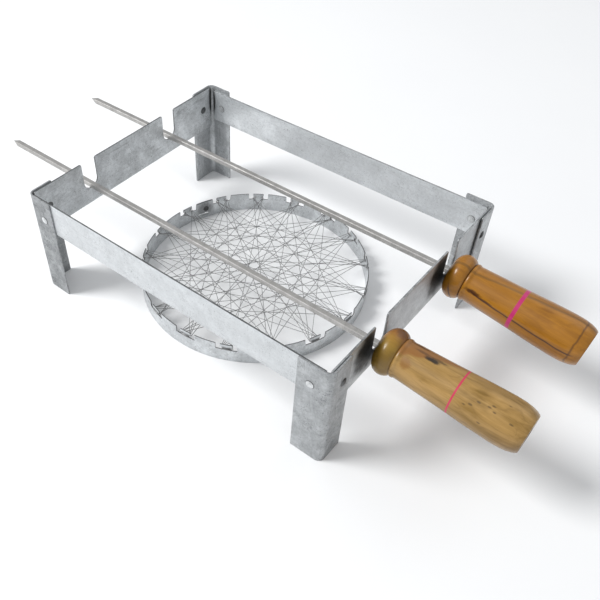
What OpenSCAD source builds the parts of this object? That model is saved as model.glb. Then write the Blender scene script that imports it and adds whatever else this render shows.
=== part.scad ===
// Tabletop tandoor grill: a riveted sheet stand on four legs, two skewers lying
// in its notches, and a loose roasting ring laced with wire on the floor inside.
// Millimetres. X runs along the skewers from the tips to the handles, Y across,
// Z up. The origin is at floor level, under the middle of the whole thing.

/* [Stand] */
// Length of the stand over its legs
frame_l = 265; // [200:1:360]
// Width of the stand over its legs
frame_w = 200; // [190:1:260]
// Height of the legs
leg_h = 88; // [70:1:140]
// Thickness of the sheet
sheet_t = 1.2; // [0.8:0.1:2]
// Outside radius of the leg's bend
bend_r = 5; // [3:0.5:8]
// Height of the side rails
side_rail_h = 27; // [22:1:40]
// Height of the end rails
end_rail_h = 37; // [32:1:50]
// How far the near side rail and the end rails lie below the leg tops
rail_drop = 0.5; // [0:0.1:3]
// How far the far side rail lies below the leg tops
far_rail_drop = 3.8; // [0:0.1:6]
// Gap between the leg flanges and the end rails
end_gap = 0.8; // [0.1:0.1:2]

/* [Leg flanges] */
// Tip-end near leg: flange along the stand
tip_near_x = 23; // [18:0.5:35]
// Tip-end near leg: flange across the stand
tip_near_y = 21; // [18:0.5:35]
// Tip-end far leg: flange along the stand
tip_far_x = 21.5; // [18:0.5:35]
// Tip-end far leg: flange across the stand
tip_far_y = 23.5; // [18:0.5:35]
// Handle-end near leg: flange along the stand
handle_near_x = 24; // [18:0.5:35]
// Handle-end near leg: flange across the stand
handle_near_y = 21; // [18:0.5:35]
// Handle-end far leg: flange along the stand
handle_far_x = 22.5; // [18:0.5:35]
// Handle-end far leg: flange across the stand
handle_far_y = 20; // [18:0.5:35]

/* [Notches] */
// Width of the skewer notches
notch_w = 13.6; // [8:0.2:20]
// Depth of the skewer notches
notch_depth = 24.3; // [12:0.1:28]
// Rounding of the notch lips
notch_lip = 1.4; // [0.4:0.1:3]
// Near notch from the middle of the stand
notch_near = -44.7; // [-70:0.1:-20]
// Far notch from the middle of the stand
notch_far = 43; // [20:0.1:70]

/* [Rivets] */
// Diameter of the rivet shanks
rivet_d = 3.2; // [2:0.1:5]
// Diameter of the rivet heads
rivet_head_d = 6.4; // [4:0.1:9]
// Height of the rivet heads
rivet_head_h = 1.2; // [0.5:0.1:2]
// Rivet centre from the outside of the corner
rivet_inset = 14; // [9:0.5:18]
// Rivet centre below the leg tops
rivet_drop = 18; // [12:0.5:22]

/* [Skewers] */
// Thickness of the square rods
rod_s = 4; // [3:0.1:6]
// Length of the point's taper
point_l = 6.5; // [3:0.5:15]
// How far the points stand out past the stand
tip_over = 93; // [40:1:140]
// Gap between the handle and the end rail
collar_gap = 1.9; // [1.6:0.1:10]
// Length of the wooden handles
handle_l = 97.6; // [70:0.1:130]
// How crookedly the near handle sits on its rod, in degrees
crook_near = 2.6; // [0:0.1:5]
// How crookedly the far handle sits on its rod, in degrees
crook_far = 5.2; // [0:0.1:6]

/* [Roasting ring] */
// Outside diameter of the hoop
ring_d = 179.4; // [150:0.2:190]
// Height of the hoop
ring_h = 16.5; // [12:0.5:25]
// Thickness of the hoop's sheet
ring_t = 0.8; // [0.5:0.1:1.2]
// Thickness of the lacing wire
wire_t = 0.5; // [0.4:0.05:0.6]
// Width of the heads of the T tabs
tee_w = 9.1; // [7:0.1:11]
// Width of the necks of the T tabs
neck_w = 4.9; // [3:0.1:6]
// Gap between a T tab's head and the next wide tab
tab_gap = 3.7; // [2.5:0.1:5]
// Ring centre along the stand, from its middle
ring_x = -8.8; // [-15:0.1:15]
// Ring centre across the stand, from its middle
ring_y = 8.3; // [-9:0.1:9]

/* [Hidden] */

tees = 17;             // T tabs round the hoop
tee_a0 = 126.46;       // where the first one stands
seam_a = tee_a0 + 360 / tees * 1.52;
head_z = ring_h - 2.6; // underside of the T heads
sill_z = ring_h - 5.3; // bottom of the gaps between the tabs
clear = 0.05;          // round a shank in its hole

hx = frame_l / 2;
hy = frame_w / 2;
end_out = hx - sheet_t - end_gap;    // outer face of the end rails
end_in = end_out - sheet_t;          // inner face of the end rails
side_out = hy - sheet_t;             // outer face of the side rails
rail_z = leg_h - rail_drop;          // top of the near side rail and the end rails
far_z = leg_h - far_rail_drop;       // top of the far side rail
rivet_z = leg_h - rivet_drop;
rod_z = rail_z - notch_depth + rod_s * 0.725; // the rod turns clear of the notch bottom
front_x = end_out + collar_gap;      // front of the handles
tip_x = -hx - tip_over;

// Handle outline: distance along it, radius.
handle_line = [[0, 8.4], [0.6, 10.8], [1.8, 13], [3.6, 14.8], [6, 15.7], [7.6, 15.85],
    [9.4, 15.6], [11.2, 14.9], [12.6, 13.9], [13.3, 13], [13.6, 12.7], [14.1, 13.2], [15, 13.4],
    [16, 13.2], [16.6, 12.8], [17.2, 12.7], [24, 13], [34, 13.4], [44, 13.8], [54, 14.3],
    [64, 14.9], [74, 15.3], [82, 15.5], [88, 15.3], [92, 14.7], [95, 13.8], [96.8, 12.9],
    [97.6, 12.2]];
hole_r = 5;            // drilled tail
hole_l = 12;
socket_r = 3.3;        // where the rod enters
tang_r = 1.9;
tang_l = 62;
k = handle_l / 97.6;
reach = max([for (p = handle_line) p[0] * k * cos(crook_far) + p[1] * sin(crook_far)]);
mid_x = (front_x + reach + tip_x) / 2; // middle of the whole length

steel = "#b9bec0";
bright = "#d4d9db";
wood = "#b98a48";

module place() { translate([-mid_x, 0, 0]) children(); }

// A corner of the stand, the leg's outside corner at the origin and its flanges
// along +X and +Y, put in place for the corner on side sx, sy.
module corner(sx, sy) {
    place() mirror([sx > 0 ? 1 : 0, 0, 0]) mirror([0, sy > 0 ? 1 : 0, 0])
        translate([-hx, -hy, 0]) children();
}

// A leg whose flanges are wx and wy wide.
module leg(wx, wy) {
    difference() {
        linear_extrude(leg_h) {
            translate([bend_r, 0]) square([wx - bend_r, sheet_t]);
            translate([0, bend_r]) square([sheet_t, wy - bend_r]);
            intersection() {
                translate([bend_r, bend_r]) difference() {
                    circle(r = bend_r, $fn = 48);
                    circle(r = bend_r - sheet_t, $fn = 48);
                }
                square([bend_r, bend_r]);
            }
        }
        translate([rivet_inset, -1, rivet_z]) rotate([-90, 0, 0])
            cylinder(d = rivet_d + 2 * clear, h = sheet_t + 2, $fn = 32);
        translate([-1, rivet_inset, rivet_z]) rotate([0, 90, 0])
            cylinder(d = rivet_d + 2 * clear, h = sheet_t + 2, $fn = 32);
    }
}

// Rivet with its domed head outside and its peened end inside; grip is what it holds.
module rivet(grip) {
    r = rivet_head_d / 2;
    h = rivet_head_h;
    big = (r * r + h * h) / (2 * h);
    a = asin(r / big);
    rotate_extrude($fn = 40) polygon(concat(
        [for (i = [0:6]) [big * sin(a * i / 6), big - h - big * cos(a * i / 6)]],
        [[rivet_d / 2, 0], [rivet_d / 2, grip], [r * 0.97, grip], [r * 0.92, grip + 0.35],
         [r * 0.6, grip + 0.6], [0, grip + 0.6]]));
}

module rivet_pair() {
    translate([rivet_inset, 0, rivet_z]) rotate([-90, 0, 0]) rivet(2 * sheet_t);
    translate([0, rivet_inset, rivet_z]) rotate([0, 90, 0]) rivet(2 * sheet_t + end_gap);
}

// Side rail on side sy with its top at z.
module side_rail(sy, z) {
    l = hx - bend_r;
    place() difference() {
        translate([-l, sy > 0 ? side_out - sheet_t : -side_out, z - side_rail_h])
            cube([2 * l, sheet_t, side_rail_h]);
        for (sx = [-1, 1]) translate([sx * (hx - rivet_inset), sy * (side_out - sheet_t / 2), rivet_z])
            rotate([90, 0, 0]) cylinder(d = rivet_d + 2 * clear, h = 3 * sheet_t, center = true, $fn = 32);
    }
}

// Notch outline, its mouth at the rail's top edge.
module notch() {
    r = notch_w / 2;
    translate([-r, r - notch_depth]) square([notch_w, notch_depth - r + 1]);
    translate([0, r - notch_depth]) circle(r = r, $fn = 48);
    for (s = [0, 1]) mirror([s, 0]) translate([r - 0.01, -notch_lip]) difference() {
        square([notch_lip, notch_lip + 1]);
        translate([notch_lip, 0]) circle(r = notch_lip, $fn = 24);
    }
}

// End rail on side sx.
module end_rail(sx) {
    w = hy - 3.5;
    place() difference() {
        translate([sx > 0 ? end_in : -end_out, 0, rail_z]) rotate([90, 0, 90])
            linear_extrude(sheet_t) difference() {
                translate([-w, -end_rail_h]) square([2 * w, end_rail_h]);
                translate([notch_near, 0]) notch();
                translate([notch_far, 0]) notch();
            }
        for (sy = [-1, 1]) translate([sx * (end_in + sheet_t / 2), sy * (hy - rivet_inset), rivet_z])
            rotate([0, 90, 0]) cylinder(d = rivet_d + 2 * clear, h = 3 * sheet_t, center = true, $fn = 32);
    }
}

// Rod of the skewer at y: a square bar with a four-sided point, and a round tang
// that follows the handle.
module rod(y, crook) {
    l = front_x + 2.6;
    h = rod_s / 2;
    outline = [[tip_x, 0], [tip_x + point_l, h], [l, h], [l, -h], [tip_x + point_l, -h]];
    place() translate([0, y, rod_z]) {
        intersection() {
            rotate([90, 0, 0]) linear_extrude(2 * rod_s, center = true) polygon(outline);
            linear_extrude(2 * rod_s, center = true) polygon(outline);
        }
        translate([front_x, 0, 0]) rotate([0, crook, 0]) translate([1.5, 0, 0]) rotate([0, 90, 0])
            cylinder(r = tang_r, h = tang_l - 1.5, $fn = 32);
    }
}

module handle(y, crook) {
    place() translate([front_x, y, rod_z]) rotate([0, crook, 0]) rotate([0, 90, 0])
        rotate_extrude($fn = 64) polygon(concat(
            [[socket_r, 0]],
            [for (p = handle_line) [p[1], p[0] * k]],
            [[hole_r, handle_l], [hole_r, handle_l - hole_l], [0, handle_l - hole_l],
             [0, tang_l + 1], [tang_r + clear, tang_l + 1], [tang_r + clear, 3.4], [socket_r, 3.4]]));
}

module at_ring() { place() translate([ring_x, ring_y, 0]) children(); }

// One gap beside a T tab, seen from the middle of the ring, cut outwards.
module gap_cut(s) {
    rotate([90, 0, 90]) linear_extrude(4 * ring_t) polygon([
        [s * neck_w / 2, sill_z], [s * neck_w / 2, head_z], [s * tee_w / 2, head_z],
        [s * tee_w / 2, ring_h + 3], [s * (tee_w / 2 + tab_gap), ring_h + 3],
        [s * (tee_w / 2 + tab_gap), sill_z]]);
}

module hoop() {
    r = ring_d / 2;
    at_ring() {
        difference() {
            cylinder(r = r, h = ring_h, $fn = 180);
            translate([0, 0, -1]) cylinder(r = r - ring_t, h = ring_h + 2, $fn = 180);
            for (i = [0:tees - 1], s = [-1, 1]) rotate([0, 0, tee_a0 - 360 * i / tees])
                translate([r - 2.5 * ring_t, 0, 0]) gap_cut(s);
            rotate([0, 0, seam_a]) translate([r, 0, 9.4]) rotate([0, 90, 0])
                cylinder(d = 3 + 2 * clear, h = 8 * ring_t, center = true, $fn = 32);
        }
        // the lapped end, inside
        intersection() {
            difference() {
                cylinder(r = r - ring_t, h = ring_h, $fn = 180);
                translate([0, 0, -1]) cylinder(r = r - 2 * ring_t, h = ring_h + 3, $fn = 180);
                rotate([0, 0, seam_a]) translate([r, 0, 9.4]) rotate([0, 90, 0])
                    cylinder(d = 3 + 2 * clear, h = 8 * ring_t, center = true, $fn = 32);
            }
            rotate([0, 0, seam_a]) translate([r - 4 * ring_t, -9, -1]) cube([4 * ring_t, 18, ring_h + 3]);
        }
    }
}

module seam_rivet() {
    at_ring() rotate([0, 0, seam_a]) translate([ring_d / 2 + 0.1, 0, 9.4]) rotate([0, -90, 0])
        rotate_extrude($fn = 32) polygon([[0, -0.9], [1.6, -0.8], [2.4, -0.3], [2.6, 0],
            [1.5, 0], [1.5, 2 * ring_t + 0.3], [2.6, 2 * ring_t + 0.3], [2.4, 2 * ring_t + 0.6],
            [1.5, 2 * ring_t + 0.8], [0, 2 * ring_t + 0.8]]);
}

// Where a wire turns behind the neck of T tab i, on its side s.
function turn(i, s) = let (a = tee_a0 - 360 * i / tees, r = ring_d / 2 + wire_t / 2 + 0.1,
    w = neck_w / 2 + wire_t / 2 + 0.1) [r * cos(a) - s * w * sin(a), r * sin(a) + s * w * cos(a)];

module run(p, q) {
    d = q - p;
    translate(p) rotate(atan2(d[1], d[0])) translate([-wire_t / 2, -wire_t / 2])
        square([norm(d) + wire_t, wire_t]);
}

// One pass of the lacing: from each T tab to the one a number of steps on, round
// its neck and on again until every tab is used.
module pass(steps, level) {
    at_ring() translate([0, 0, sill_z + 0.15 + level * 0.65]) linear_extrude(wire_t)
        for (i = [0:tees - 1]) {
            run(turn(i, -1), turn(i + steps, 1));
            run(turn(i, -1), turn(i, 1));
        }
}

// Where the last wires are twisted together: it lies just under the lacing, from
// beside the T tab before the seam towards the seam.
module wire_end_twist() {
    p = [for (m = [[15.2, 8], [15.5, 9]]) let (a = tee_a0 - 360 * m[0] / tees, r = ring_d / 2 - m[1])
        [r * cos(a), r * sin(a)]];
    d = p[1] - p[0];
    at_ring() translate([p[0][0], p[0][1], sill_z - 0.46]) rotate([0, 90, atan2(d[1], d[0])]) {
        cylinder(d = 1.2, h = norm(d), $fn = 24);
        translate([0, 0, norm(d)]) sphere(d = 1.2, $fn = 24);
    }
}

module leg_tip_near() { color(steel) corner(-1, -1) leg(tip_near_x, tip_near_y); }
module leg_tip_far() { color(steel) corner(-1, 1) leg(tip_far_x, tip_far_y); }
module leg_handle_near() { color(steel) corner(1, -1) leg(handle_near_x, handle_near_y); }
module leg_handle_far() { color(steel) corner(1, 1) leg(handle_far_x, handle_far_y); }
module side_rail_near() { color(bright) side_rail(-1, rail_z); }
module side_rail_far() { color(bright) side_rail(1, far_z); }
module end_rail_tip() { color(steel) end_rail(-1); }
module end_rail_handle() { color(steel) end_rail(1); }
module rivets_tip_near() { color(bright) corner(-1, -1) rivet_pair(); }
module rivets_tip_far() { color(bright) corner(-1, 1) rivet_pair(); }
module rivets_handle_near() { color(bright) corner(1, -1) rivet_pair(); }
module rivets_handle_far() { color(bright) corner(1, 1) rivet_pair(); }
module rod_near() { color("#a5a39c") rod(notch_near, crook_near); }
module handle_near() { color(wood) handle(notch_near, crook_near); }
module rod_far() { color("#a5a39c") rod(notch_far, crook_far); }
module handle_far() { color(wood) handle(notch_far, crook_far); }
module ring_hoop() { color(steel) hoop(); }
module ring_seam_rivet() { color("#6d7172") seam_rivet(); }
module lacing_pass_1() { color("#8b8d8e") pass(5, 0); }
module lacing_pass_2() { color("#8b8d8e") pass(6, 1); }
module lacing_pass_3() { color("#8b8d8e") pass(7, 2); }
module lacing_pass_4() { color("#8b8d8e") pass(8, 3); }
module wire_end() { color("#8b8d8e") wire_end_twist(); }

leg_tip_near();
leg_tip_far();
leg_handle_near();
leg_handle_far();
side_rail_near();
side_rail_far();
end_rail_tip();
end_rail_handle();
rivets_tip_near();
rivets_tip_far();
rivets_handle_near();
rivets_handle_far();
rod_near();
handle_near();
rod_far();
handle_far();
ring_hoop();
ring_seam_rivet();
lacing_pass_1();
lacing_pass_2();
lacing_pass_3();
lacing_pass_4();
wire_end();
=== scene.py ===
import math
import random

import bmesh
import bpy
import numpy as np
from mathutils import Matrix, Vector, noise


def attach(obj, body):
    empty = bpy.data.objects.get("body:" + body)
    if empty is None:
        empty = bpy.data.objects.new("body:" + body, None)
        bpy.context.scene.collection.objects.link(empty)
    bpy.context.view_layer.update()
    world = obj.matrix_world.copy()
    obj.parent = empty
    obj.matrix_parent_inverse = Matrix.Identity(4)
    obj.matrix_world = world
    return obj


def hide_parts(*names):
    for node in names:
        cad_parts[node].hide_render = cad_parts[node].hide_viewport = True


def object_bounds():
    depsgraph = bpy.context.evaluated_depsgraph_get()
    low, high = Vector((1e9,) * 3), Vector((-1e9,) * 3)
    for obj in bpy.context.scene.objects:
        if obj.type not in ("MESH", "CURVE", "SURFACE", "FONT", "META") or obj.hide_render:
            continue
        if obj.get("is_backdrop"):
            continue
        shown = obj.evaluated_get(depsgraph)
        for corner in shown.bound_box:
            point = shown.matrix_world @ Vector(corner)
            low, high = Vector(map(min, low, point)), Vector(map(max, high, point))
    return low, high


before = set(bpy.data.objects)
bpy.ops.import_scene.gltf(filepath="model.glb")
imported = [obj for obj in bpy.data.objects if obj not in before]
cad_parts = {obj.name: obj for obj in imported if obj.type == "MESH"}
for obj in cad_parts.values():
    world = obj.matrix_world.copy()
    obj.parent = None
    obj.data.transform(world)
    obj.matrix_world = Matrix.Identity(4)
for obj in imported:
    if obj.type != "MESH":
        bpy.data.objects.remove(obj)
cad_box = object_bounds()

# ---------------------------------------------------------------- sizes, in mm
# X and Y are counted from the middle of the stand here; P() turns them into the
# row frame, in metres.
LINE = [(0, 8.4), (0.6, 10.8), (1.8, 13), (3.6, 14.8), (6, 15.7), (7.6, 15.85), (9.4, 15.6),
        (11.2, 14.9), (12.6, 13.9), (13.3, 13), (13.6, 12.7), (14.1, 13.2), (15, 13.4), (16, 13.2),
        (16.6, 12.8), (17.2, 12.7), (24, 13), (34, 13.4), (44, 13.8), (54, 14.3), (64, 14.9),
        (74, 15.3), (82, 15.5), (88, 15.3), (92, 14.7), (95, 13.8), (96.8, 12.9), (97.6, 12.2)]
TIP_X, FRONT_X = -225.5, 132.4
CROOK_NEAR, CROOK_FAR = math.radians(2.6), math.radians(5.2)
MID = (FRONT_X + max(q * math.cos(CROOK_FAR) + r * math.sin(CROOK_FAR) for q, r in LINE) + TIP_X) / 2
HX, HY, LEG_H, T = 132.5, 100.0, 88.0, 1.2
BEND = 5.0
FLANGE = {"tip_near": (23, 21), "tip_far": (21.5, 23.5), "handle_near": (24, 21), "handle_far": (22.5, 20)}
RAIL_Z, FAR_Z = 87.5, 84.2
SIDE_H, END_H = 27.0, 37.0
END_OUT, SIDE_OUT = 130.5, 98.8
NOTCH_W, NOTCH_D, LIP = 13.6, 24.3, 1.4
NEAR_Y, FAR_Y = -44.7, 43.0
ROD_Z = 66.1
RIVET_Z, RIVET_IN = 70.0, 14.0
RX, RY, RR, RH, RT = -8.8, 8.3, 89.7, 16.5, 0.8
TEES, TEE_A0 = 17, 126.46
HEAD_Z, SILL_Z = RH - 2.6, RH - 5.3
STEP = 360.0 / TEES


def P(x, y, z):
    return Vector(((x - MID) / 1000, y / 1000, z / 1000))


# ---------------------------------------------------------------- camera
cam_data = bpy.data.cameras.new("camera")
cam = bpy.data.objects.new("camera", cam_data)
bpy.context.scene.collection.objects.link(cam)
cam_right = Vector((0.76123, 0.64835, -0.01305))
cam_up = Vector((-0.46322, 0.55773, 0.68874))
cam_back = Vector((0.45382, -0.51824, 0.72489))
rot = Matrix((cam_right, cam_up, cam_back)).transposed()
cam.matrix_world = Matrix.Translation(P(256.2, -330.88, 405.79)) @ rot.to_4x4()
cam_data.sensor_width = 36
cam_data.lens = 732.23 * 36 / 600
cam_data.shift_x = 0.125
cam_data.shift_y = 0.03
cam_data.clip_start = 0.01
cam_data.clip_end = 50
bpy.context.scene.camera = cam


# ---------------------------------------------------------------- node helpers
class Mat:
    """A node material being built."""

    def __init__(self, name):
        self.m = bpy.data.materials.new(name)
        self.m.use_nodes = True
        self.nt = self.m.node_tree
        self.nt.nodes.clear()
        self.out = self.nt.nodes.new("ShaderNodeOutputMaterial")
        self.b = self.nt.nodes.new("ShaderNodeBsdfPrincipled")
        self.nt.links.new(self.b.outputs[0], self.out.inputs[0])
        self.tc = self.nt.nodes.new("ShaderNodeTexCoord")

    def n(self, kind, **kw):
        node = self.nt.nodes.new(kind)
        for k, v in kw.items():
            setattr(node, k, v)
        return node

    def link(self, a, b):
        self.nt.links.new(a, b)

    def put(self, socket, value):
        if hasattr(value, "is_linked") or isinstance(value, bpy.types.NodeSocket):
            self.link(value, socket)
        else:
            socket.default_value = value

    def coords(self, scale=(1, 1, 1), loc=(0, 0, 0), rot=(0, 0, 0), src=None):
        mp = self.n("ShaderNodeMapping")
        mp.inputs["Scale"].default_value = scale
        mp.inputs["Location"].default_value = loc
        mp.inputs["Rotation"].default_value = rot
        self.link(src or self.tc.outputs["Object"], mp.inputs["Vector"])
        return mp.outputs[0]

    def noise(self, vec, scale, detail=2.0, rough=0.5, distortion=0.0, out="Fac"):
        t = self.n("ShaderNodeTexNoise")
        t.inputs["Scale"].default_value = scale
        t.inputs["Detail"].default_value = detail
        t.inputs["Roughness"].default_value = rough
        t.inputs["Distortion"].default_value = distortion
        self.link(vec, t.inputs["Vector"])
        return t.outputs[out]

    def voronoi(self, vec, scale, out="Distance", feature="F1", rand=1.0):
        t = self.n("ShaderNodeTexVoronoi", feature=feature)
        t.inputs["Scale"].default_value = scale
        t.inputs["Randomness"].default_value = rand
        self.link(vec, t.inputs["Vector"])
        return t.outputs[out]

    def math(self, op, a, b=None, c=None, clamp=False):
        t = self.n("ShaderNodeMath", operation=op, use_clamp=clamp)
        for i, v in enumerate((a, b, c)):
            if v is not None:
                self.put(t.inputs[i], v)
        return t.outputs[0]

    def ramp(self, fac, stops, interp="LINEAR"):
        t = self.n("ShaderNodeValToRGB")
        t.color_ramp.interpolation = interp
        els = t.color_ramp.elements
        while len(els) < len(stops):
            els.new(0.5)
        for e, (p, c) in zip(els, stops):
            e.position = p
            e.color = (c, c, c, 1) if isinstance(c, (int, float)) else (*c, 1)
        self.link(fac, t.inputs[0])
        return t.outputs[0]

    def range(self, v, a, b, c=0.0, d=1.0, smooth=False):
        t = self.n("ShaderNodeMapRange", interpolation_type="SMOOTHSTEP" if smooth else "LINEAR")
        self.link(v, t.inputs["Value"])
        for k, x in zip(("From Min", "From Max", "To Min", "To Max"), (a, b, c, d)):
            t.inputs[k].default_value = x
        return t.outputs[0]

    def mix(self, fac, a, b, blend="MIX"):
        t = self.n("ShaderNodeMix", data_type="RGBA", blend_type=blend)
        self.put(t.inputs[0], fac)
        for i, v in ((6, a), (7, b)):
            if isinstance(v, bpy.types.NodeSocket):
                self.link(v, t.inputs[i])
            else:
                t.inputs[i].default_value = (*v, 1) if len(v) == 3 else v
        return t.outputs[2]

    def sep(self, vec):
        t = self.n("ShaderNodeSeparateXYZ")
        self.link(vec, t.inputs[0])
        return t.outputs

    def comb(self, x, y, z):
        t = self.n("ShaderNodeCombineXYZ")
        for i, v in enumerate((x, y, z)):
            self.put(t.inputs[i], v)
        return t.outputs[0]

    def bump(self, height, strength=0.3, dist=0.0005, normal=None):
        t = self.n("ShaderNodeBump")
        t.inputs["Strength"].default_value = strength
        t.inputs["Distance"].default_value = dist
        self.link(height, t.inputs["Height"])
        if normal is not None:
            self.link(normal, t.inputs["Normal"])
        return t.outputs[0]


def galvanised(name, light, dark, seed=0.0, streak=(1, 1, 0.12), speck=0.35, metal=0.75,
               rough=(0.36, 0.55), tint=(0.97, 1.0, 1.02), painted_shade=None):
    """Zinc-coated sheet: soft mottles, small dark specks, streaks along the rolling
    direction. streak gives the squeeze of the streaks along each axis."""
    m = Mat(name)
    o = m.coords(loc=(seed, seed * 1.7, seed * 0.6))
    big = m.noise(o, 85, 3, 0.55)
    mid = m.noise(o, 420, 4, 0.6, 0.3)
    fine = m.noise(o, 1900, 3, 0.65)
    streaky = m.noise(m.coords(scale=streak, loc=(seed, 0, seed)), 900, 4, 0.7)
    tone = m.math("MULTIPLY", big, 0.40)
    tone = m.math("MULTIPLY_ADD", mid, 0.34, tone)
    tone = m.math("MULTIPLY_ADD", fine, 0.10, tone)
    tone = m.math("MULTIPLY_ADD", streaky, 0.16, tone)
    tl = tuple(light * t for t in tint)
    td = tuple(dark * t for t in tint)
    col = m.ramp(tone, [(0.36, td), (0.50, tuple((a + b) / 2 for a, b in zip(tl, td))), (0.60, tl)])
    # dark specks and short scratches
    specks = m.range(m.noise(m.coords(loc=(seed + 3, 1, 2)), 620, 5, 0.75, 0.8), 0.60, 0.72)
    col = m.mix(m.math("MULTIPLY", specks, speck), col, tuple(dark * 0.42 * t for t in tint))
    scr = m.range(m.noise(m.coords(scale=streak, loc=(1, seed, 4)), 420, 2, 0.5, 0.2), 0.66, 0.74)
    col = m.mix(m.math("MULTIPLY", scr, speck * 0.8), col, tuple(dark * 0.6 * t for t in tint))
    fleck = m.range(m.noise(m.coords(loc=(seed + 9, 2, 5)), 1050, 2, 0.6), 0.645, 0.70)
    col = m.mix(m.math("MULTIPLY", fleck, min(1.0, speck * 1.5)), col, tuple(dark * 0.25 * t for t in tint))
    ridge = m.math("ABSOLUTE", m.math("SUBTRACT", m.noise(m.coords(loc=(seed, 6, 1)), 330, 3, 0.6, 0.6), 0.5))
    where = m.range(m.noise(m.coords(loc=(4, seed, 8)), 95, 2, 0.5), 0.54, 0.60)
    crease = m.math("MULTIPLY", m.range(ridge, 0.011, 0.004), where)
    col = m.mix(m.math("MULTIPLY", crease, min(1.0, speck * 1.6)), col, tuple(dark * 0.3 * t for t in tint))
    # painted shade and painted reflection: near-black spots laid on the sheet where it lies in deep shade or mirrors
    # the dark handle collars
    if painted_shade:
        for (cx, cy, cz), (sx, sy, sz), amount in painted_shade:
            p = P(cx, cy, cz)
            v = m.coords(loc=(-p.x / (sx / 1000), -p.y / (sy / 1000), -p.z / (sz / 1000)),
                         scale=(1000 / sx, 1000 / sy, 1000 / sz))
            ln = m.n("ShaderNodeVectorMath", operation="LENGTH")
            m.link(v, ln.inputs[0])
            d = m.math("MULTIPLY_ADD", m.noise(o, 140, 3, 0.6), 0.5, ln.outputs["Value"])
            f = m.range(d, 0.75, 1.35, amount, 0.0, smooth=True)
            col = m.mix(f, col, (0.012, 0.011, 0.010))
    m.link(col, m.b.inputs["Base Color"])
    m.b.inputs["Metallic"].default_value = metal
    m.link(m.range(tone, 0.36, 0.62, rough[1], rough[0]), m.b.inputs["Roughness"])
    h = m.math("MULTIPLY_ADD", mid, 0.6, m.math("MULTIPLY", fine, 0.4))
    m.link(m.bump(h, 0.25, 0.0003), m.b.inputs["Normal"])
    return m.m


# ---------------------------------------------------------------- mesh helpers
def link(name, me):
    ob = bpy.data.objects.new(name, me)
    bpy.context.scene.collection.objects.link(ob)
    return ob


def shade(me, angle=35):
    for p in me.polygons:
        p.use_smooth = True
    bm = bmesh.new()
    bm.from_mesh(me)
    for e in bm.edges:
        e.smooth = len(e.link_faces) == 2 and e.calc_face_angle(0) < math.radians(angle)
    bm.to_mesh(me)
    bm.free()


def flat_sheet(outline, holes, t, bevel=0.15, cuts_u=(), cuts_v=(), segs=2):
    """A closed slab in mm: outline and holes in (u, v), thickness along w from 0 to t,
    its rims rounded, cut into cells along u and v so that it can be bent."""
    bm = bmesh.new()
    loops = []
    for loop in [outline] + list(holes):
        vs = [bm.verts.new((u, v, 0)) for u, v in loop]
        for a, b in zip(vs, vs[1:] + vs[:1]):
            bm.edges.new((a, b))
        loops.append(vs)
    bmesh.ops.triangle_fill(bm, use_beauty=True, use_dissolve=False, edges=bm.edges[:], normal=(0, 0, -1))
    bmesh.ops.dissolve_limit(bm, angle_limit=0.01, use_dissolve_boundaries=False, verts=[], edges=[e for e in bm.edges if not e.is_boundary])
    low = bm.faces[:]
    bm.verts.ensure_lookup_table()
    dup = bmesh.ops.duplicate(bm, geom=bm.verts[:] + bm.edges[:] + low)
    vmap = dup["vert_map"]
    top = [f for f in dup["geom"] if isinstance(f, bmesh.types.BMFace)]
    for f in low:
        if f.normal.z > 0:
            f.normal_flip()
    bm.normal_update()
    for v in loops[0] + [x for l in loops[1:] for x in l]:
        vmap[v].co.z = t
    for f in top:
        for v in f.verts:
            v.co.z = t
    for vs in loops:
        for a, b in zip(vs, vs[1:] + vs[:1]):
            bm.faces.new((a, b, vmap[b], vmap[a]))
    bmesh.ops.recalc_face_normals(bm, faces=bm.faces[:])
    rim = [e for e in bm.edges if len(e.link_faces) == 2 and e.calc_face_angle(0) > 1.2
           and abs(e.verts[0].co.z - e.verts[1].co.z) < 1e-6]
    if bevel:
        bmesh.ops.bevel(bm, geom=rim, offset=bevel, segments=segs, profile=0.5, affect="EDGES", clamp_overlap=True)
    for axis, cuts in ((0, cuts_u), (1, cuts_v)):
        for c in cuts:
            co, no = [0, 0, 0], [0, 0, 0]
            co[axis], no[axis] = c, 1
            bmesh.ops.bisect_plane(bm, geom=bm.verts[:] + bm.edges[:] + bm.faces[:], plane_co=co, plane_no=no, dist=1e-4)
    bm.normal_update()
    for f in bm.faces:
        f.material_index = 1 if abs(f.normal.z) < 0.85 else 0
    return bm


def circle(cx, cy, r, n=28):
    return [(cx + r * math.cos(2 * math.pi * i / n), cy + r * math.sin(2 * math.pi * i / n)) for i in range(n)]


def rounded(points, r, n=4):
    """The polygon with its corners rounded by r."""
    out = []
    k = len(points)
    for i in range(k):
        p, q, s = Vector(points[i - 1]), Vector(points[i]), Vector(points[(i + 1) % k])
        a, b = (p - q), (s - q)
        rr = r[i] if isinstance(r, (list, tuple)) else r
        d = min(rr, a.length * 0.45, b.length * 0.45)
        if d <= 0.01:
            out.append((q.x, q.y))
            continue
        a, b = q + a.normalized() * d, q + b.normalized() * d
        for j in range(n + 1):
            f = j / n
            w = (1 - f) ** 2 * a + 2 * f * (1 - f) * q + f * f * b
            out.append((w.x, w.y))
    return out


def steps(a, b, d):
    k = max(1, int(math.ceil((b - a) / d)))
    return [a + (b - a) * i / k for i in range(1, k)]


def to_mesh(bm, name, fn, angle=35):
    """fn turns (u, v, w) in mm into a point of the row frame."""
    for v in bm.verts:
        v.co = fn(v.co.x, v.co.y, v.co.z)
    bmesh.ops.recalc_face_normals(bm, faces=bm.faces[:])
    me = bpy.data.meshes.new(name)
    bm.to_mesh(me)
    bm.free()
    shade(me, angle)
    return me


def wob(x, y, z, s, seed):
    """Smooth noise from -1 to 1; s is its size in mm."""
    return noise.noise(Vector((x / s + seed * 7.1, y / s - seed * 3.3, z / s + seed)))


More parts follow.
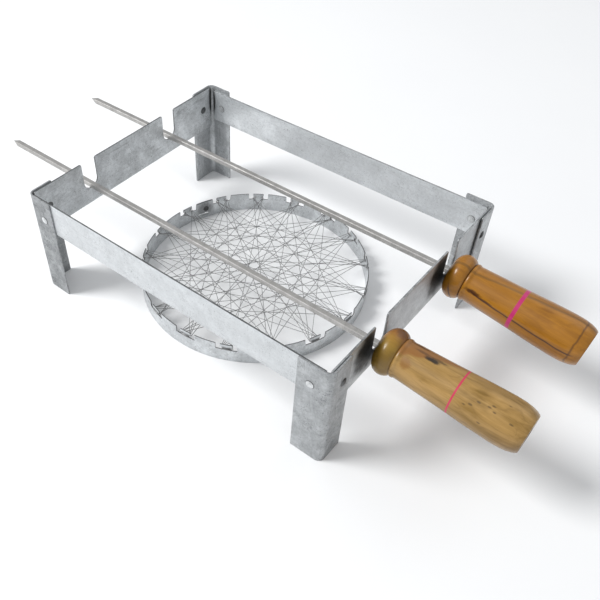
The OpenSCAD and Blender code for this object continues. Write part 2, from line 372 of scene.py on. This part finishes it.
def finish_piece(ob, body, nodes, mats):
    for m in mats:
        ob.data.materials.append(m)
    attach(ob, body)
    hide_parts(*nodes)
    return ob


# ---------------------------------------------------------------- materials
M_RAIL_NEAR = galvanised("rail_near_zinc", 0.70, 0.58, 1.0, streak=(0.10, 1, 1), speck=0.34, metal=0.6, rough=(0.36, 0.5))
# painted shade: a near-black spot on the inner face by the tip-far leg, for the deep shade in the gap at that corner
M_RAIL_FAR = galvanised("rail_far_zinc", 0.80, 0.60, 2.0, streak=(0.10, 1, 1), speck=0.34, metal=0.7,
                        painted_shade=[((-127.5, 97.5, 74), (2.4, 4, 13), 0.9)], rough=(0.30, 0.48))
# painted shade: a near-black spot on the inner face at the far end, for the deep shade in the corner by the tip-far leg
M_END_TIP = galvanised("end_tip_zinc", 0.76, 0.48, 3.0, streak=(1, 0.10, 1), speck=0.55,
                       painted_shade=[((-129.5, 96, 77), (5, 2.4, 17), 0.95)])
# painted reflection and painted shade: near-black spots on the outer face beside both collars, for the collars mirrored
# in the sheet and the shade they cast
M_END_HANDLE = galvanised("end_handle_zinc", 0.62, 0.48, 4.0, streak=(1, 0.10, 1), speck=0.25,
                          painted_shade=[((130.8, NEAR_Y - 14, 71), (1.8, 17, 22), 0.97), ((130.8, FAR_Y - 14, 71), (1.8, 17, 22), 0.97)])
M_LEG = {
    "tip_near": galvanised("leg_tip_near_zinc", 0.46, 0.22, 5.0, speck=0.75, rough=(0.40, 0.62)),
    "tip_far": galvanised("leg_tip_far_zinc", 0.62, 0.36, 6.0, speck=0.5),
    "handle_near": galvanised("leg_handle_near_zinc", 0.52, 0.32, 7.0, speck=0.6),
    "handle_far": galvanised("leg_handle_far_zinc", 0.60, 0.32, 8.0, speck=0.6),
}
# painted shade: a darkened patch round the seam rivet and the lapped end of the strip
M_RING = galvanised("ring_zinc", 0.74, 0.50, 9.0, streak=(0.6, 0.6, 0.6), speck=0.5,
                    painted_shade=[((-90.7, 41.7, 9.4), (8, 10, 9), 0.55)])

M_EDGE = galvanised("sheet_cut_edge", 0.50, 0.16, 10.0, speck=0.7, metal=0.6)
M_EDGE_DARK = galvanised("sheet_cut_edge_dark", 0.20, 0.08, 11.0, speck=0.7, metal=0.6)


# ---------------------------------------------------------------- legs
def leg(name, sx, sy, seed, wx, wy):
    arc = math.pi / 2 * (BEND - T / 2)
    lo, hi = -(arc / 2 + wx - BEND), arc / 2 + wy - BEND
    pts = [(lo, 0), (hi, 0), (hi, LEG_H), (lo, LEG_H)]
    outline = rounded(pts, [0.9, 0.9, 1.2, 1.2], 3)
    ou = arc / 2 + RIVET_IN - BEND
    holes = [circle(-ou, RIVET_Z, 1.65, 20), circle(ou, RIVET_Z, 1.65, 20)]
    cu = steps(lo, -arc / 2, 4) + [-arc / 2 + arc * i / 12 for i in range(13)] + steps(arc / 2, hi, 4)
    bm = flat_sheet(outline, holes, T, 0.16, cu, steps(0, LEG_H, 4))

    def fn(u, v, w):
        # w: 0 outside, T inside; the +u side runs along Y, the -u side along X
        r = BEND - w
        if u < -arc / 2:
            x, y = BEND + (-arc / 2 - u), w
        elif u > arc / 2:
            x, y = w, BEND + (u - arc / 2)
        else:
            a = math.pi * 1.5 - (u + arc / 2) / arc * math.pi / 2
            x, y = BEND + r * math.cos(a), BEND + r * math.sin(a)
        low = max(0.0, min(1.0, (56 - v) / 20))
        k = 0.16 * low * wob(u, v, 0, 14, seed) + 0.05 * low * wob(u, v, 3, 4, seed)
        free = max(0.0, (abs(u) - arc / 2) / 18)
        nx, ny = (1.0, 0.0) if u > 0 else (0.0, 1.0)
        k2 = k * (0.4 + free)
        x += nx * k2
        y += ny * k2
        X = sx * (HX - x)
        Y = sy * (HY - y)
        return P(X, Y, v)

    me = to_mesh(bm, name, fn)
    return link(name, me)


LEGS = (("tip_near", -1, -1), ("tip_far", -1, 1), ("handle_near", 1, -1), ("handle_far", 1, 1))
for i, (nm, sx, sy) in enumerate(LEGS):
    ob = leg("leg_" + nm + "_sheet", sx, sy, i + 1, *FLANGE[nm])
    finish_piece(ob, "stand", ["leg_" + nm], [M_LEG[nm], M_EDGE])


# ---------------------------------------------------------------- side rails
def side_rail(name, sy, top, seed):
    l = HX - BEND
    outline = rounded([(-l, top - SIDE_H), (l, top - SIDE_H), (l, top), (-l, top)], 0.8, 3)
    holes = [circle(s * (HX - RIVET_IN), RIVET_Z, 1.65, 20) for s in (-1, 1)]
    bm = flat_sheet(outline, holes, T, 0.16, steps(-l, l, 5), steps(top - SIDE_H, top, 4.5))

    def fn(u, v, w):
        free = max(0.0, min(1.0, (l - 26 - abs(u)) / 30))
        k = free * (0.35 * wob(u, 0, 0, 90, seed) + 0.12 * wob(u, v, 0, 22, seed))
        return P(u, sy * (SIDE_OUT - w + k), v)

    return link(name, to_mesh(bm, name, fn))


finish_piece(side_rail("side_rail_near_sheet", -1, RAIL_Z, 11), "stand", ["side_rail_near"], [M_RAIL_NEAR, M_EDGE_DARK])
finish_piece(side_rail("side_rail_far_sheet", 1, FAR_Z, 12), "stand", ["side_rail_far"], [M_RAIL_FAR, M_EDGE])


# ---------------------------------------------------------------- end rails
def notch_points(cy, seed):
    """The notch's outline from its low-Y lip to its high-Y lip."""
    r = NOTCH_W / 2
    z = RAIL_Z
    pts = []
    for i in range(7):
        a = math.pi / 2 * i / 6
        pts.append((cy - r - LIP + LIP * math.sin(a), z - LIP + LIP * math.cos(a)))
    for i in range(25):
        a = math.pi + math.pi * i / 24
        pts.append((cy + r * math.cos(a), z - NOTCH_D + r + r * math.sin(a)))
    for i in range(7):
        a = math.pi / 2 * i / 6
        pts.append((cy + r + LIP - LIP * math.cos(a), z - LIP + LIP * math.sin(a)))
    return pts


def end_rail(name, sx, seed):
    w2 = HY - 3.5
    z1 = RAIL_Z - END_H
    body = rounded([(w2, RAIL_Z), (w2, z1), (-w2, z1), (-w2, RAIL_Z)], 0.8, 3)
    outline = body + notch_points(NEAR_Y, seed) + notch_points(FAR_Y, seed)
    outline = outline[::1]
    holes = [circle(s * (HY - RIVET_IN), RIVET_Z, 1.65, 20) for s in (-1, 1)]
    bm = flat_sheet(outline, holes, T, 0.16, steps(-w2, w2, 4.5), steps(z1, RAIL_Z, 4.5))

    def fn(u, v, w):
        free = max(0.0, min(1.0, (w2 - 24 - abs(u)) / 24))
        k = free * (0.10 * wob(u, 0, 0, 70, seed) + 0.06 * wob(u, v, 0, 20, seed))
        return P(sx * (END_OUT - w + k), u, v)

    return link(name, to_mesh(bm, name, fn))


finish_piece(end_rail("end_rail_tip_sheet", -1, 13), "stand", ["end_rail_tip"], [M_END_TIP, M_EDGE_DARK])
finish_piece(end_rail("end_rail_handle_sheet", 1, 14), "stand", ["end_rail_handle"], [M_END_HANDLE, M_EDGE])


# ---------------------------------------------------------------- metal and wood of the rest
def bar_steel(name, light, dark, seed, marks=0.5, metal=0.7, rough=(0.34, 0.5), tint=(1.0, 0.975, 0.94)):
    """Plain bar or wire steel with fine oblique file marks."""
    m = Mat(name)
    o = m.coords(loc=(seed, seed, 0))
    soft = m.noise(o, 160, 3, 0.6)
    filed = m.noise(m.coords(scale=(1.0, 0.12, 0.12), rot=(0, 0, 0.9), loc=(0, seed, 0)), 2200, 3, 0.7)
    tone = m.math("MULTIPLY_ADD", filed, marks, m.math("MULTIPLY", soft, 1 - marks))
    tl, td = tuple(light * t for t in tint), tuple(dark * t for t in tint)
    m.link(m.ramp(tone, [(0.36, td), (0.62, tl)]), m.b.inputs["Base Color"])
    m.b.inputs["Metallic"].default_value = metal
    m.link(m.range(tone, 0.35, 0.65, rough[1], rough[0]), m.b.inputs["Roughness"])
    m.link(m.bump(filed, 0.2, 0.00015), m.b.inputs["Normal"])
    return m.m


def wood(name, y0, crook, base, pale, deep, stripe_at, stripe_w, stripe_col, near):
    """Varnished turned wood. The coordinates are counted along the handle from its
    front, in metres."""
    m = Mat(name)
    R = Matrix.Rotation(-crook, 3, "Y")
    back = R @ P(FRONT_X, y0, ROD_Z)
    loc = m.coords(rot=(0, -crook, 0), loc=(-back.x, -back.y, -back.z))
    x, y, z = m.sep(loc)[0:3]

    def stretched(sx, sy, scale, detail, rough, off=0.0, dist=0.0):
        return m.noise(m.coords(scale=(sx, sy, sy), loc=(off, off * 2, 0), src=loc), scale, detail, rough, dist)

    grain = stretched(0.10, 1, 330, 4, 0.6, 1.0, 0.6)
    pores = stretched(0.06, 1, 1500, 3, 0.7, 2.0)
    clouds = stretched(0.35, 1, 60, 3, 0.55, 3.0, 0.8)
    tone = m.math("MULTIPLY_ADD", clouds, 0.55, m.math("MULTIPLY", grain, 0.45))
    col = m.ramp(tone, [(0.38, base), (0.60, pale)])
    col = m.mix(m.math("MULTIPLY", m.range(pores, 0.60, 0.74), 0.35), col, deep)
    # figure of the grain: dark lines where the soft noise crosses a level
    rings = m.math("ABSOLUTE", m.math("SUBTRACT", m.math("FRACT", m.math("MULTIPLY", stretched(0.12, 1, 95, 1, 0.5, 4.0, 0.4), 9.0)), 0.5))
    col = m.mix(m.math("MULTIPLY", m.range(rings, 0.09, 0.0), 0.22 if near else 0.14), col, deep)
    wobble = m.math("MULTIPLY_ADD", stretched(0.5, 1, 130, 2, 0.5, 5.0), 0.010, -0.005)

    def patch(cx, cy, cz, sx, sy, sz, amount, colour, src_col):
        v = m.coords(scale=(1000 / sx, 1000 / sy, 1000 / sz), loc=(-cx / sx, -cy / sy, -cz / sz), src=loc)
        ln = m.n("ShaderNodeVectorMath", operation="LENGTH")
        m.link(v, ln.inputs[0])
        d = m.math("MULTIPLY_ADD", m.noise(loc, 420, 3, 0.6), 0.8, ln.outputs["Value"])
        return m.mix(m.range(d, 0.9, 1.5, amount, 0.0, smooth=True), src_col, colour)

    if near:
        # reddish heart on the far upper side, tapering off behind the collar
        edge = m.math("ADD", m.math("MULTIPLY_ADD", x, -0.46, m.math("ADD", y, 0.0158)), wobble)
        col = m.mix(m.math("MULTIPLY", m.range(edge, -0.001, 0.003, smooth=True), 0.85), col, (0.26, 0.105, 0.022))
        col = patch(21, -9.5, 9, 4, 5, 4, 0.7, (0.24, 0.10, 0.014), col)
        col = patch(33, -0.5, 14, 6, 2.0, 4, 0.95, (0.016, 0.010, 0.006), col)
        col = patch(37, 1.5, 13.5, 6, 1.2, 4, 0.7, (0.06, 0.028, 0.008), col)
        col = patch(23, 6, 12, 7, 1.2, 4, 0.7, (0.05, 0.02, 0.006), col)
        col = patch(27, 1.5, 13, 7, 1.3, 4, 0.6, (0.07, 0.03, 0.01), col)
        for i in range(9):
            rr = random.Random(40 + i)
            a = math.radians(rr.uniform(95, 175))
            col = patch(rr.uniform(60, 92), 15 * math.cos(a), 15 * math.sin(a), 1.6, 0.7, 0.7, 0.7, (0.07, 0.04, 0.012), col)
        tail = m.math("MULTIPLY", m.range(x, 0.076, 0.096), m.range(z, 0.008, -0.006))
        col = m.mix(m.math("MULTIPLY", tail, 0.85), col, (0.15, 0.072, 0.005))
        collar = m.mix(m.range(m.math("ADD", y, wobble), -0.010, 0.006, smooth=True), (0.33, 0.20, 0.025), (0.28, 0.105, 0.016))
        collar = m.mix(m.math("MULTIPLY", m.range(clouds, 0.48, 0.62), 0.45), collar, (0.10, 0.045, 0.008))
        col = m.mix(m.range(x, 0.0145, 0.0125), col, collar)
        col = patch(9, 4, 14, 4, 5, 4, 0.6, (0.09, 0.03, 0.006), col)
        col = patch(8, -10, 10, 1.2, 1.6, 1.6, 0.7, (0.05, 0.03, 0.008), col)
        col = patch(5, -13, 6, 1.0, 1.3, 1.3, 0.6, (0.05, 0.03, 0.008), col)
    else:
        # dark line along the near side, soft one along the top, dark arcs at the tail
        f = m.math("ADD", m.math("DIVIDE", 0.00008, m.math("MAXIMUM", x, 0.012)), 0.0006)
        d = m.math("ABSOLUTE", m.math("SUBTRACT", m.math("MULTIPLY_ADD", wobble, 0.12, z), f))
        side = m.range(y, -0.004, -0.006)
        span = m.math("MULTIPLY", m.range(x, 0.018, 0.021), m.range(x, 0.094, 0.090))
        col = m.mix(m.math("MULTIPLY", m.math("MULTIPLY", m.range(d, 0.0007, 0.0003), side), m.math("MULTIPLY", span, 0.92)), col, (0.045, 0.013, 0.003))
        col = patch(22, -12, 4.5, 7, 4, 1.7, 0.85, (0.05, 0.014, 0.003), col)
        col = patch(31, -12.5, 3.4, 7, 4, 1.0, 0.8, (0.06, 0.018, 0.003), col)
        f2 = m.math("MULTIPLY_ADD", x, 0.086, -0.0049)
        d2 = m.math("ABSOLUTE", m.math("SUBTRACT", m.math("MULTIPLY_ADD", wobble, 0.25, y), f2))
        top = m.range(z, 0.002, 0.006)
        col = m.mix(m.math("MULTIPLY", m.math("MULTIPLY", m.range(d2, 0.0016, 0.0003, smooth=True), top), 0.55), col, (0.12, 0.06, 0.010))
        tail = m.math("ABSOLUTE", m.math("SUBTRACT", m.math("ADD", x, m.math("MULTIPLY", wobble, 0.3)), 0.0905))
        col = m.mix(m.math("MULTIPLY", m.range(tail, 0.0009, 0.0002), 0.65), col, (0.06, 0.02, 0.004))
        arc = m.math("ABSOLUTE", m.math("SUBTRACT", m.math("MULTIPLY_ADD", z, 0.35, x), 0.0072))
        low = m.range(z, 0.006, 0.0)
        col = m.mix(m.math("MULTIPLY", m.math("MULTIPLY", m.range(arc, 0.0008, 0.0003), low), 0.8), col, (0.04, 0.014, 0.004))
    # painted shade along the groove, the stripe, the front face painted near-black so that the end rail mirrors it dark
    # (painted shade beside the collars), painted shade inside the drilled tail
    # painted shade: a dark line along the groove at 13.6 mm
    groove_shade = m.math("ABSOLUTE", m.math("SUBTRACT", x, 0.0136))
    col = m.mix(m.math("MULTIPLY", m.range(groove_shade, 0.0007, 0.0001), 0.4 if near else 0.85), col, tuple(c * 0.5 for c in deep))
    st = m.math("ABSOLUTE", m.math("SUBTRACT", m.math("MULTIPLY_ADD", wobble, 0.05, x), stripe_at / 1000))
    col = m.mix(m.math("MULTIPLY", m.range(st, stripe_w / 2000 + 0.00015, stripe_w / 2000 - 0.00015), 0.93), col, stripe_col)
    # painted shade: the front face is made near-black so that the end rail mirrors it as the dark shade beside the
    # collars
    col = m.mix(m.range(x, 0.0014, 0.0002), col, (0.018, 0.012, 0.008))
    # painted shade: the inside of the drilled tail is darkened
    flat = m.n("ShaderNodeVectorMath", operation="LENGTH")
    m.link(m.comb(0.0, y, z), flat.inputs[0])
    tail_hole_shade = m.math("MULTIPLY", m.range(flat.outputs["Value"], 0.0054, 0.0050), m.range(x, 0.080, 0.084))
    col = m.mix(tail_hole_shade, col, (0.03, 0.015, 0.006))
    m.link(col, m.b.inputs["Base Color"])
    m.link(m.range(tone, 0.35, 0.65, 0.46, 0.36), m.b.inputs["Roughness"])
    m.b.inputs["Specular IOR Level"].default_value = 0.3
    m.b.inputs["Coat Weight"].default_value = 0.45
    m.b.inputs["Coat Roughness"].default_value = 0.2
    m.link(m.bump(m.math("MULTIPLY_ADD", clouds, 0.7, m.math("MULTIPLY", grain, 0.3)), 0.25, 0.0006), m.b.inputs["Normal"])
    return m.m


M_ROD = bar_steel("rod_bar", 0.50, 0.34, 1.0)
M_RIVET = bar_steel("rivet_bar", 0.80, 0.40, 2.0, marks=0.35, rough=(0.28, 0.5), tint=(0.98, 1, 1.01))
# painted shade: a dark copy of the rivet steel, for the shadow round the rivet heads and for the heads on the X-facing
# flanges
M_RIVET_SHADE = bar_steel("rivet_bar_painted_shade", 0.16, 0.04, 6.0, marks=0.35, rough=(0.35, 0.55), tint=(0.98, 1, 1))
M_SEAM = bar_steel("seam_rivet_bar", 0.10, 0.03, 3.0, marks=0.35, tint=(0.98, 1, 1))
M_WIRE = bar_steel("lacing_wire_bar", 0.30, 0.17, 4.0, marks=0.3, metal=0.6, tint=(1, 1, 1))
M_WIRE_END = bar_steel("wire_end_bar", 0.75, 0.5, 5.0, marks=0.3, rough=(0.22, 0.36), tint=(0.98, 1, 1))
M_WOOD_NEAR = wood("wood_near", NEAR_Y, CROOK_NEAR, (0.215, 0.118, 0.018), (0.42, 0.250, 0.078), (0.10, 0.050, 0.008),
                   53.6, 1.2, (0.55, 0.020, 0.085), True)
M_WOOD_FAR = wood("wood_far", FAR_Y, CROOK_FAR, (0.255, 0.098, 0.003), (0.385, 0.160, 0.009), (0.10, 0.032, 0.003),
                  50.2, 2.6, (0.50, 0.012, 0.15), False)


def spin(bm, profile, at, segs=64, jig=None):
    """Revolve a profile of (distance, radius) in mm; at turns (s, y, z) into the frame."""
    rings = []
    for s, r in profile:
        if r < 1e-6:
            rings.append([bm.verts.new(at(s, 0, 0))])
            continue
        ring = []
        for i in range(segs):
            a = 2 * math.pi * i / segs
            k = r * (1 + (jig(s, a) if jig else 0))
            ring.append(bm.verts.new(at(s, k * math.cos(a), k * math.sin(a))))
        rings.append(ring)
    for p, q in zip(rings, rings[1:]):
        n = max(len(p), len(q))
        for i in range(n):
            j = (i + 1) % n
            vs = [p[i % len(p)], p[j % len(p)], q[j % len(q)], q[i % len(q)]]
            keep = []
            for v in vs:
                if v not in keep:
                    keep.append(v)
            if len(keep) > 2:
                bm.faces.new(keep)
    if len(rings[0]) > 1:
        bm.faces.new(rings[0])
    if len(rings[-1]) > 1:
        bm.faces.new(rings[-1])


def sweep(bm, pts, rad, sides=6):
    """Round tube along points of the row frame."""
    pts = [Vector(p) for p in pts]
    n = (pts[1] - pts[0]).orthogonal().normalized()
    rings = []
    for i, p in enumerate(pts):
        t = (pts[min(i + 1, len(pts) - 1)] - pts[max(i - 1, 0)]).normalized()
        n = (n - t * n.dot(t)).normalized()
        b = t.cross(n)
        r = rad[i] if isinstance(rad, (list, tuple)) else rad
        rings.append([bm.verts.new(p + (n * math.cos(a) + b * math.sin(a)) * r)
                      for a in (2 * math.pi * j / sides for j in range(sides))])
    for p, q in zip(rings, rings[1:]):
        for i in range(sides):
            j = (i + 1) % sides
            bm.faces.new((p[i], p[j], q[j], q[i]))
    bm.faces.new(rings[0])
    bm.faces.new(rings[-1])


def as_is(bm, name, angle=35):
    bmesh.ops.recalc_face_normals(bm, faces=bm.faces[:])
    me = bpy.data.meshes.new(name)
    bm.to_mesh(me)
    bm.free()
    shade(me, angle)
    return link(name, me)


# ---------------------------------------------------------------- skewers
def along(y0, crook):
    c, s = math.cos(crook), math.sin(crook)
    return lambda u, v, w: P(FRONT_X + u * c + w * s, y0 + v, ROD_Z - u * s + w * c)


def handle(name, y0, crook, seed, mat, body, node):
    fine_line = []
    for (s0, r0), (s1, r1) in zip(LINE, LINE[1:]):
        k = max(1, int((s1 - s0) / 1.2))
        fine_line += [(s0 + (s1 - s0) * i / k, r0 + (r1 - r0) * i / k) for i in range(k)]
    fine_line.append(LINE[-1])
    prof = [(3.4, 0), (3.4, 3.3), (0.25, 3.3), (0, 3.6)] + fine_line + [(97.6, 5.3), (97.3, 5.0), (85.6, 5.0), (85.6, 0)]
    bm = bmesh.new()
    spin(bm, prof, along(y0, crook), 96,
         lambda s, a: -0.003 + 0.003 * noise.noise(Vector((s / 22 + seed, math.cos(a) * 1.3, math.sin(a) * 1.3))))
    finish_piece(as_is(bm, name, 40), body, [node], [mat])


def rod(name, y0, crook, seed, body, node):
    """Square bar with rounded edges and a four-sided point, and its tang."""
    h = 2.0
    e = 0.38
    sec = []
    for cx, cy, a0 in ((h - e, h - e, 0), (e - h, h - e, 90), (e - h, e - h, 180), (h - e, e - h, 270)):
        for k in range(4):
            a = math.radians(a0 + 30 * k)
            sec.append((cx + e * math.cos(a), cy + e * math.sin(a)))
    xs = [TIP_X, TIP_X + 0.25, TIP_X + 3, TIP_X + 6.5, TIP_X + 7.4]
    xs += steps(TIP_X + 7.4, FRONT_X + 2.6, 9) + [FRONT_X + 2.6]
    bm = bmesh.new()
    rings = []
    for x in xs:
        k = max(0.05, min(1.0, (x - TIP_X + 0.1) / 6.6))
        if x > TIP_X + 7:
            k = 1.0
        dz = 0.05 * wob(x, 0, 0, 40, seed) - 0.05
        rings.append([bm.verts.new(P(x, y0 + v * k * 0.985, ROD_Z + w * k * 0.985 + dz * (k == 1.0))) for v, w in sec])
    for p, q in zip(rings, rings[1:]):
        for i in range(len(sec)):
            j = (i + 1) % len(sec)
            bm.faces.new((p[i], p[j], q[j], q[i]))
    bm.faces.new(rings[0])
    bm.faces.new(rings[-1])
    at = along(y0, crook)
    sweep(bm, [at(1.6, 0, 0), at(30, 0, 0), at(62, 0, 0)], 0.0019, 20)
    finish_piece(as_is(bm, name, 22), body, [node], [M_ROD])


handle("handle_near_wood", NEAR_Y, CROOK_NEAR, 1.0, M_WOOD_NEAR, "skewer_near", "handle_near")
handle("handle_far_wood", FAR_Y, CROOK_FAR, 5.0, M_WOOD_FAR, "skewer_far", "handle_far")
rod("rod_near_bar", NEAR_Y, CROOK_NEAR, 21, "skewer_near", "rod_near")
rod("rod_far_bar", FAR_Y, CROOK_FAR, 22, "skewer_far", "rod_far")


# ---------------------------------------------------------------- rivets
def rivet_profile(grip):
    r, h = 3.2, 1.2
    big = (r * r + h * h) / (2 * h)
    a = math.asin(r / big)
    dome = [(big - h - big * math.cos(a * i / 8), big * math.sin(a * i / 8)) for i in range(9)]
    dome = [(min(s, 0.0), q * 0.985) for s, q in dome]
    return dome + [(0, 1.6), (grip, 1.6), (grip, 3.0), (grip + 0.18, 3.05), (grip + 0.38, 2.85), (grip + 0.55, 2.1), (grip + 0.42, 1.1), (grip + 0.36, 0)]


def hammered(seed):
    return lambda s, a: -0.02 + 0.025 * noise.noise(Vector((s * 0.9 + seed, 1.4 * math.cos(a), 1.4 * math.sin(a))))


for i, (nm, sx, sy) in enumerate(LEGS):
    bm = bmesh.new()
    spin(bm, rivet_profile(2 * T), lambda s, v, w: P(sx * (HX - RIVET_IN + v), sy * (HY - s), RIVET_Z + w), 36, hammered(i * 3.1))
    bm.normal_update()
    # painted shade: faces more than 2.72 mm from the centre take the dark copy, a ring for the shadow round the head
    for f in bm.faces:
        c = f.calc_center_median() - P(sx * (HX - RIVET_IN), 0, RIVET_Z)
        f.material_index = 1 if math.hypot(c.x, c.z) > 0.00272 else 0
    first = len(bm.faces)
    spin(bm, rivet_profile(2 * T + 0.8), lambda s, v, w: P(sx * (HX - s), sy * (HY - RIVET_IN + v), RIVET_Z + w), 36, hammered(i * 3.1 + 9))
    # painted shade: the head on the X-facing flange takes the dark copy all over
    bm.faces.ensure_lookup_table()
    for f in bm.faces[first:]:
        f.material_index = 1
    finish_piece(as_is(bm, "rivets_" + nm + "_heads", 30), "stand", ["rivets_" + nm], [M_RIVET, M_RIVET_SHADE])


# ---------------------------------------------------------------- roasting ring
PITCH = 2 * math.pi * RR / TEES
SEAM0, LAP = 15.27, 16.0


def ring_at(index, r, z, along_mm=0.0):
    a = math.radians(TEE_A0 - STEP * index)
    x, y = r * math.cos(a) - along_mm * math.sin(a), r * math.sin(a) + along_mm * math.cos(a)
    return P(RX + x, RY + y, z)


def hoop():
    rnd = random.Random(7)
    full = PITCH * TEES
    end = full + LAP
    top = []
    for i in range(TEES):
        u = ((i - SEAM0) % TEES) * PITCH
        j = lambda k: rnd.uniform(-k, k)
        sl, sr = SILL_Z + j(0.25), SILL_Z + j(0.25)
        hz = HEAD_Z + j(0.2)
        top.append([(u - 8.25 + j(0.4), RH + j(0.1) - 0.12), (u - 8.25 + j(0.3), sl), (u - 2.45, sl + j(0.15)),
                    (u - 2.45, hz), (u - 4.55 + j(0.3), hz + j(0.15)), (u - 4.55 + j(0.3), RH - 0.15),
                    (u + 4.55 + j(0.3), RH - 0.15 + j(0.1)), (u + 4.55 + j(0.3), hz + j(0.15)), (u + 2.45, hz),
                    (u + 2.45, sr + j(0.15)), (u + 8.25 + j(0.3), sr), (u + 8.25 + j(0.4), RH + j(0.1) - 0.12)])
    top.sort(key=lambda t: t[0][0])
    path = [(0.4, 0.05), (end, 0.05), (end, RH - 0.1)]
    for t in reversed(top):
        path += list(reversed(t))
    path.append((0.4, RH - 0.1))
    outline = rounded(path, 0.3, 2)
    mid_u = 9.0
    holes = [circle(mid_u, 9.4, 1.55, 16), circle(mid_u + full, 9.4, 1.55, 16)]
    bm = flat_sheet(outline, holes, RT, 0.12, steps(0.4, end, 3.0), [5.5])

    def fn(u, v, w):
        inner = max(0.0, min(1.0, (u - (full - 4)) / 4))
        inner = inner * inner * (3 - 2 * inner)
        ripple = 0.10 * wob(u, v, 0, 16, 31) * (1 if 6 < u < full - 6 else 0)
        lean = 0.0
        return ring_at(SEAM0 + u / PITCH, RR - 0.12 - w - inner * (RT + 0.06) + ripple + lean, v)

    ob = link("ring_hoop_strip", to_mesh(bm, "ring_hoop_strip", fn))
    finish_piece(ob, "roasting_ring", ["ring_hoop"], [M_RING, M_EDGE_DARK])


hoop()
bm = bmesh.new()
seam_i = SEAM0 + 9.0 / PITCH
spin(bm, [(-0.9, 0), (-0.82, 1.5), (-0.35, 2.35), (0, 2.55), (0, 1.45), (1.9, 1.45), (1.9, 2.55), (2.15, 2.4), (2.3, 1.5), (2.35, 0)],
     lambda s, v, w: ring_at(seam_i, RR - s, 9.4 + w, v), 28, hammered(40))
finish_piece(as_is(bm, "ring_seam_rivet_heads", 30), "roasting_ring", ["ring_seam_rivet"], [M_SEAM])


def lacing(n, stride):
    """One wire round all the T tabs; it crosses over in front of each neck."""
    rnd = random.Random(100 + n)
    rad = 0.21
    pts = []
    base = SILL_Z + 0.62 + 0.56 * n

    def tab(i):
        w = 2.45 + rad + 0.12
        z = base + rnd.uniform(-0.08, 0.08)
        w0, w1 = w + rnd.uniform(0, 2.4), w + rnd.uniform(0, 2.4)
        return [ring_at(i, RR - RT - 0.5, z, -w0), ring_at(i, RR + 0.22, z, -w + 0.1), ring_at(i, RR + 0.28, z + 0.05, 0),
                ring_at(i, RR + 0.22, z, w - 0.1), ring_at(i, RR - RT - 0.5, z, w1)]

    i = 0
    first = tab(0)
    pts += first[2:]
    for k in range(TEES):
        i += stride
        nxt = tab(i) if k < TEES - 1 else first
        a, b = pts[-1], nxt[0]
        bow = rnd.uniform(-0.35, 0.35)
        side = (b - a).cross(Vector((0, 0, 1))).normalized()
        up = rnd.uniform(-0.25, 0.25)
        for q in range(1, 8):
            f = q / 8
            arch = math.sin(math.pi * f)
            pts.append(a.lerp(b, f) + side * (bow * arch / 1000) + Vector((0, 0, up * arch * math.cos(5 * f + k) / 1000)))
        pts += nxt if k < TEES - 1 else first[:2] + [first[2] - Vector((0, 0, 0.0001))]
    bm = bmesh.new()
    sweep(bm, pts, rad / 1000, 6)
    finish_piece(as_is(bm, "lacing_wire_%d" % (n + 1), 70), "roasting_ring", ["lacing_pass_%d" % (n + 1)], [M_WIRE])


for n, stride in enumerate((5, 6, 7, 8)):
    lacing(n, stride)

bm = bmesh.new()
for side in (0, 1):
    pts = []
    for q in range(49):
        f = q / 48
        c = ring_at(15.2 + 0.3 * f, RR - 8 - f, SILL_Z - 0.5 + 0.25 * math.sin(2.2 * f))
        d = (ring_at(15.5, RR - 9, 0) - ring_at(15.2, RR - 8, 0)).normalized()
        s1 = d.cross(Vector((0, 0, 1)))
        a = 2 * math.pi * f * 4 + math.pi * side
        k = 0.00030
        pts.append(c + s1 * (k * math.cos(a)) + Vector((0, 0, k * math.sin(a))))
    sweep(bm, pts, 0.00028, 6)
finish_piece(as_is(bm, "wire_end_twist", 70), "roasting_ring", ["wire_end"], [M_WIRE_END])


# ---------------------------------------------------------------- floor and light
bm = bmesh.new()
bmesh.ops.create_grid(bm, x_segments=8, y_segments=8, size=3.0)
for v in bm.verts:
    v.co.z = 0.0
me = bpy.data.meshes.new("floor")
bm.to_mesh(me)
bm.free()
floor = link("floor", me)
fm = Mat("floor_paper")
fm.b.inputs["Roughness"].default_value = 0.75
fm.b.inputs["Specular IOR Level"].default_value = 0.2
fm.link(fm.ramp(fm.noise(fm.coords(), 6, 3, 0.5), [(0.3, (0.885, 0.89, 0.90)), (0.7, (0.90, 0.905, 0.91))]), fm.b.inputs["Base Color"])
me.materials.append(fm.m)
floor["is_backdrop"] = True

world = bpy.data.worlds.new("studio")
bpy.context.scene.world = world
world.use_nodes = True
bg = world.node_tree.nodes["Background"]
bg.inputs[0].default_value = (0.96, 0.98, 1.0, 1)
bg.inputs[1].default_value = 0.56


def area(name, direction, dist, size, power, color=(1, 1, 1), target=(0, 0, 0.03)):
    """Soft light that shines on the target from that direction."""
    ld = bpy.data.lights.new(name, "AREA")
    ld.shape = "DISK"
    ld.size = size
    ld.energy = power
    ld.color = color
    ob = bpy.data.objects.new(name, ld)
    bpy.context.scene.collection.objects.link(ob)
    d = Vector(direction).normalized()
    ob.location = Vector(target) + d * dist
    ob.rotation_euler = d.to_track_quat("Z", "Y").to_euler()
    return ob


area("key", (-0.50, -0.46, 0.73), 2.2, 0.9, 41)
area("fill", (0.3, 0.8, 0.9), 1.8, 1.2, 2.5)

vs = bpy.context.scene.view_settings
vs.view_transform = "Standard"
vs.look = "None"
vs.exposure = 0.0
vs.gamma = 1.0

# ---------------------------------------------------------------- end
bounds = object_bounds()
flat = lambda b: [[round(float(c), 6) for c in p] for p in b]
{"cad": flat(cad_box), "visual": flat(bounds)}
